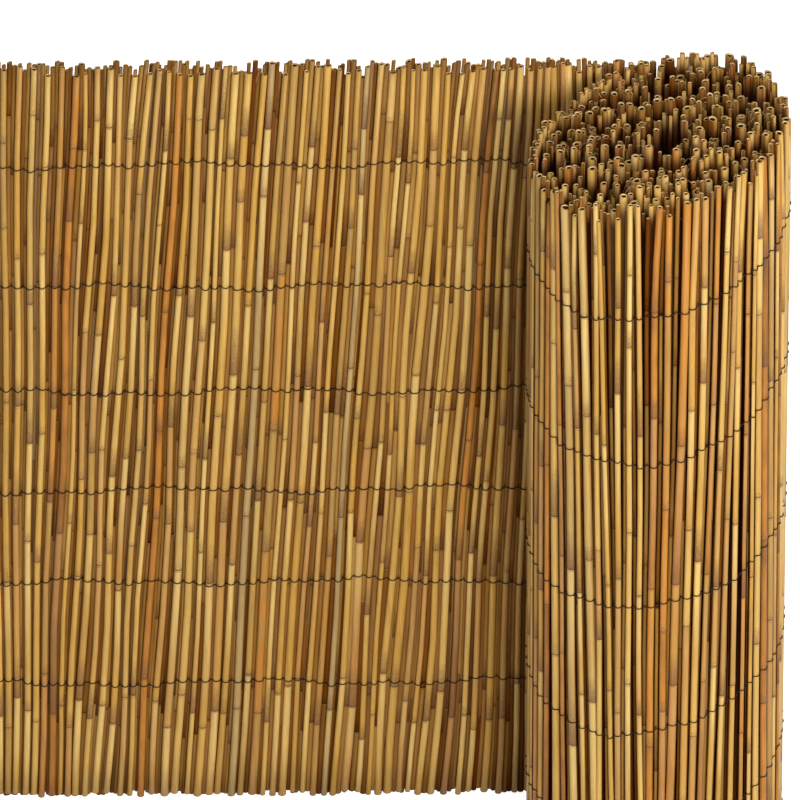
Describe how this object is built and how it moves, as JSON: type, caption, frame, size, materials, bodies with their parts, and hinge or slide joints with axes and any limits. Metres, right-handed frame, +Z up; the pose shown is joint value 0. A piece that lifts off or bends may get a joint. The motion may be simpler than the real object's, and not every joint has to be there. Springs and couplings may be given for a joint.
{
  "type": "reed screen",
  "caption": "Reed fence screen: upright reed canes bound by rows of wire, standing on its end with one stretch pulled out straight and the rest rolled up.",
  "frame": {"origin": "centre of the overall box at the ground, with the reeds' lower ends at z = 0", "axes": "+Z up along the reeds, +X along the straight stretch towards the roll, +Y from the roll's front to the straight stretch at its back"},
  "size_m": [0.9138, 0.2966, 1.0378],
  "materials": {
    "reed": "dry natural reed cane, satin straw yellow to orange brown",
    "binding_wire": "thin annealed steel wire, dark brown"
  },
  "bodies": {
    "root": {"standing_stretch": "reed", "rolled_turns": "reed", "wire_row_1_outer_strand": "binding_wire", "wire_row_1_inner_strand": "binding_wire", "wire_row_2_outer_strand": "binding_wire", "wire_row_2_inner_strand": "binding_wire", "wire_row_3_outer_strand": "binding_wire", "wire_row_3_inner_strand": "binding_wire", "wire_row_4_outer_strand": "binding_wire", "wire_row_4_inner_strand": "binding_wire", "wire_row_5_outer_strand": "binding_wire", "wire_row_5_inner_strand": "binding_wire", "wire_row_6_outer_strand": "binding_wire", "wire_row_6_inner_strand": "binding_wire"}
  },
  "joints": []
}
